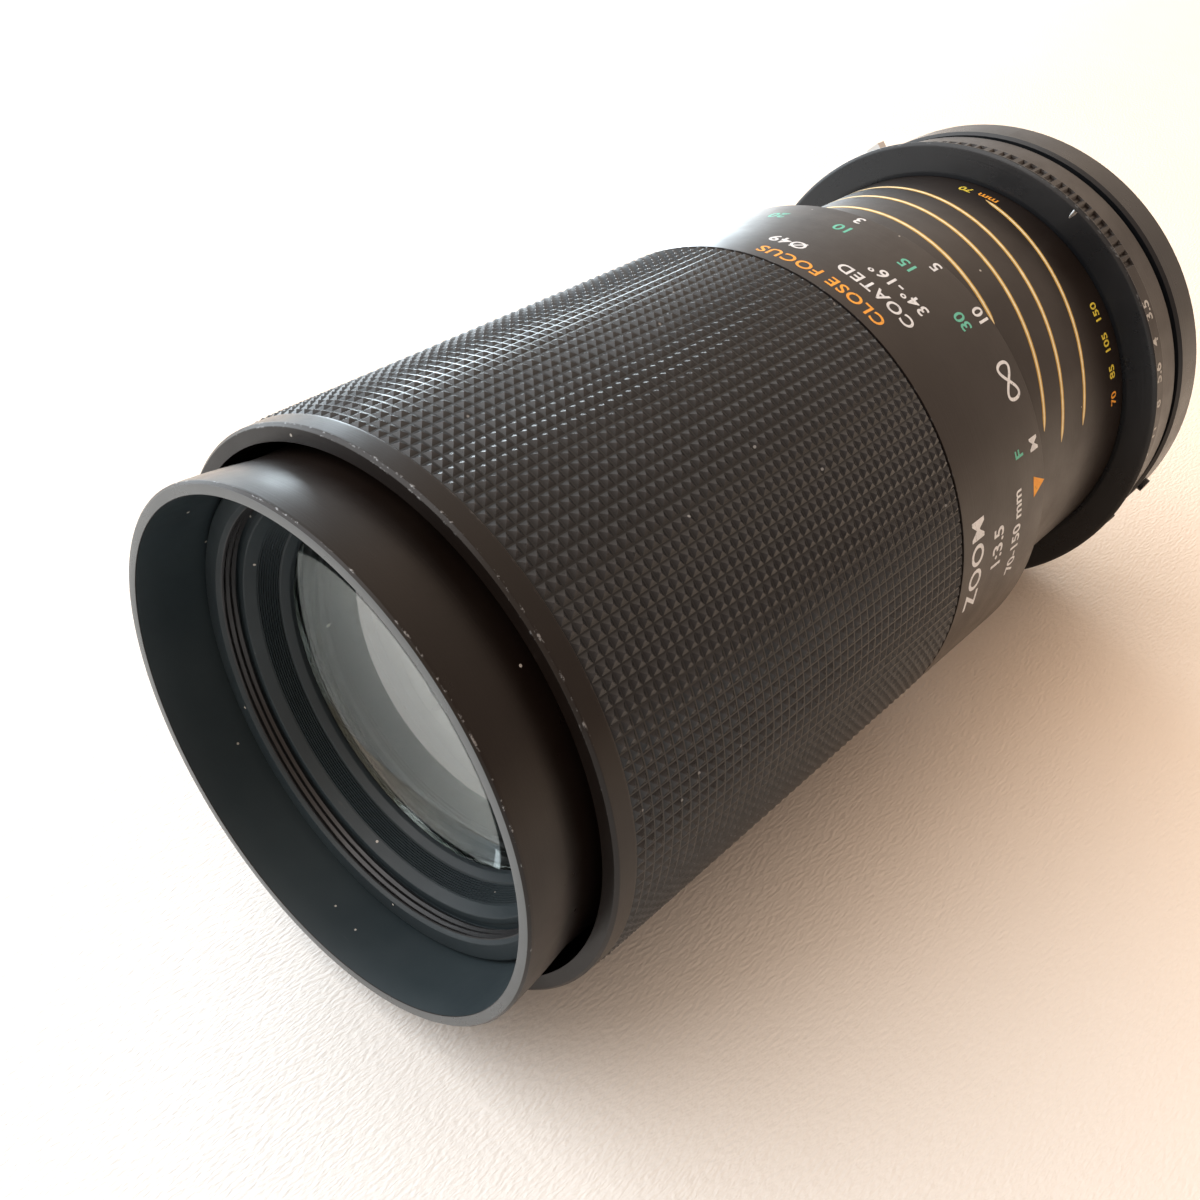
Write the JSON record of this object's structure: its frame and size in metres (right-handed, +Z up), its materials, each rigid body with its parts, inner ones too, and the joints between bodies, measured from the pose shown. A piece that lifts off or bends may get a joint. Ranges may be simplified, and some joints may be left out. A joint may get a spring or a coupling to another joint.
{
  "type": "telephoto zoom lens",
  "caption": "Black push-pull telephoto zoom lens with a diamond rubber grip, flared telescoping hood, engraved scale sleeve, aperture ring and bayonet mount.",
  "frame": {"origin": "centre of the mount face on the optical axis", "axes": "+Y is the optical axis pointing rearward into the camera, so the front glass faces -Y; +Z up with the lens lying on its side; +X to its right seen from the front"},
  "size_m": [0.0646, 0.1337, 0.0646],
  "materials": {
    "hood_black": "matte black anodised, worn grey rim",
    "grip_metal": "satin black anodised",
    "grip_rubber": "moulded diamond pattern",
    "barrel_black": "satin black anodised",
    "ring_black": "satin black anodised",
    "inner_black": "matte black",
    "inner_metal": "machined",
    "cam_brass": "machined",
    "steel": "turned",
    "mount_chrome": "hard chrome",
    "blade_steel": "blackened spring steel",
    "coated_glass": "clear coated"
  },
  "bodies": {
    "rear_barrel": {"fixed_barrel": "barrel_black", "guide_tube": "inner_metal", "cam_retaining_ring": "inner_metal", "iris_base_plate": "inner_black", "iris_cover": "inner_black", "collar": "ring_black", "collar_screws": "steel", "detent_ball": "steel", "detent_spring": "steel", "mount_ring": "ring_black", "mount_screws": "steel", "bayonet_throat": "mount_chrome", "index_button": "ring_black", "rear_cell": "inner_black", "rear_front_glass": "coated_glass", "rear_middle_glass": "coated_glass", "rear_glass": "coated_glass", "rear_lock_ring": "inner_black", "rear_baffle": "inner_black"},
    "zoom_carriage": {"carriage_tube": "inner_metal", "carriage_keys": "cam_brass", "cam_driver_pin": "steel", "stop_ring_nut": "inner_black"},
    "focus_stop": {"focus_stop_ring": "cam_brass"},
    "focus_grip": {"front_cell": "grip_metal", "hood_brake_ring": "steel", "front_trim_ring": "grip_metal", "front_element": "coated_glass", "second_element": "coated_glass", "front_spacer_ring": "inner_black", "third_element": "coated_glass", "front_lock_ring": "inner_black", "grip_core": "grip_metal", "grip_front_ring": "grip_metal", "rubber_grip": "grip_rubber", "scale_sleeve": "barrel_black", "grip_screws": "steel"},
    "hood": {"hood_tube": "hood_black"},
    "cam": {"cam_tube": "cam_brass"},
    "variator": {"variator_cell": "inner_black", "variator_front_glass": "coated_glass", "variator_rear_glass": "coated_glass", "variator_pins": "steel"},
    "compensator": {"compensator_cell": "inner_black", "compensator_glass": "coated_glass", "compensator_pins": "steel"},
    "aperture": {"aperture_ring": "ring_black", "aperture_arm": "inner_metal", "iris_drive_ring": "inner_metal"},
    "release": {"release_lever": "mount_chrome"},
    "stop_down": {"stop_down_lever": "steel"},
    "blade_1": {"iris_blade_1": "blade_steel"},
    "blade_2": {"iris_blade_2": "blade_steel"},
    "blade_3": {"iris_blade_3": "blade_steel"},
    "blade_4": {"iris_blade_4": "blade_steel"},
    "blade_5": {"iris_blade_5": "blade_steel"},
    "blade_6": {"iris_blade_6": "blade_steel"}
  },
  "joints": [
    {"name": "zoom_slide", "type": "slide", "parent": "rear_barrel", "child": "zoom_carriage", "axis": [0, 1, 0], "range_m": [0, 0.016]},
    {"name": "focus_turn", "type": "hinge", "parent": "zoom_carriage", "child": "focus_stop", "pos_m": [0, 0, 0], "axis": [0, 1, 0], "range_deg": [-84, 36]},
    {"name": "focus_advance", "type": "slide", "parent": "focus_stop", "child": "focus_grip", "axis": [0, -1, 0], "range_m": [-0.01018, 0.00442]},
    {"name": "hood_slide", "type": "slide", "parent": "focus_grip", "child": "hood", "axis": [0, -1, 0], "range_m": [0, 0.015]},
    {"name": "cam_turn", "type": "hinge", "parent": "rear_barrel", "child": "cam", "pos_m": [0, 0, 0], "axis": [0, 1, 0], "range_deg": [-0.2, 60.2]},
    {"name": "variator_slide", "type": "slide", "parent": "rear_barrel", "child": "variator", "axis": [0, 1, 0], "range_m": [-0.0001, 0.0051]},
    {"name": "compensator_slide", "type": "slide", "parent": "rear_barrel", "child": "compensator", "axis": [0, 1, 0], "range_m": [-0.0031, 0.0001]},
    {"name": "aperture_turn", "type": "hinge", "parent": "rear_barrel", "child": "aperture", "pos_m": [0, 0, 0], "axis": [0, 1, 0], "range_deg": [0, 54]},
    {"name": "release_turn", "type": "hinge", "parent": "rear_barrel", "child": "release", "pos_m": [-0.02114, 0, 0.02114], "axis": [0, 1, 0], "range_deg": [-8, 0], "stiffness_Nm_per_rad": 0.02, "springref_deg": 5.73},
    {"name": "stop_down_turn", "type": "hinge", "parent": "rear_barrel", "child": "stop_down", "pos_m": [0, 0, 0], "axis": [0, 1, 0], "range_deg": [0, 20], "stiffness_Nm_per_rad": 0.01, "springref_deg": -5.73},
    {"name": "blade_swing_1", "type": "hinge", "parent": "rear_barrel", "child": "blade_1", "pos_m": [0, 0, 0.0178], "axis": [0, 1, 0], "range_deg": [-0.1, 37.1]},
    {"name": "blade_swing_2", "type": "hinge", "parent": "rear_barrel", "child": "blade_2", "pos_m": [0.01541, 0, 0.0089], "axis": [0, 1, 0], "range_deg": [-0.1, 37.1]},
    {"name": "blade_swing_3", "type": "hinge", "parent": "rear_barrel", "child": "blade_3", "pos_m": [0.01541, 0, -0.0089], "axis": [0, 1, 0], "range_deg": [-0.1, 37.1]},
    {"name": "blade_swing_4", "type": "hinge", "parent": "rear_barrel", "child": "blade_4", "pos_m": [0, 0, -0.0178], "axis": [0, 1, 0], "range_deg": [-0.1, 37.1]},
    {"name": "blade_swing_5", "type": "hinge", "parent": "rear_barrel", "child": "blade_5", "pos_m": [-0.01541, 0, -0.0089], "axis": [0, 1, 0], "range_deg": [-0.1, 37.1]},
    {"name": "blade_swing_6", "type": "hinge", "parent": "rear_barrel", "child": "blade_6", "pos_m": [-0.01541, 0, 0.0089], "axis": [0, 1, 0], "range_deg": [-0.1, 37.1]}
  ],
  "couplings": [
    {"joint": "focus_advance", "follows": "focus_turn", "m_per_rad": 0.0068755},
    {"joint": "cam_turn", "follows": "zoom_slide", "rad_per_m": 65.45},
    {"joint": "variator_slide", "follows": "zoom_slide", "ratio": 0.3125},
    {"joint": "compensator_slide", "follows": "zoom_slide", "ratio": -0.1875},
    {"joint": "blade_swing_1", "follows": "aperture_turn", "ratio": 0.68519},
    {"joint": "blade_swing_2", "follows": "aperture_turn", "ratio": 0.68519},
    {"joint": "blade_swing_3", "follows": "aperture_turn", "ratio": 0.68519},
    {"joint": "blade_swing_4", "follows": "aperture_turn", "ratio": 0.68519},
    {"joint": "blade_swing_5", "follows": "aperture_turn", "ratio": 0.68519},
    {"joint": "blade_swing_6", "follows": "aperture_turn", "ratio": 0.68519}
  ]
}
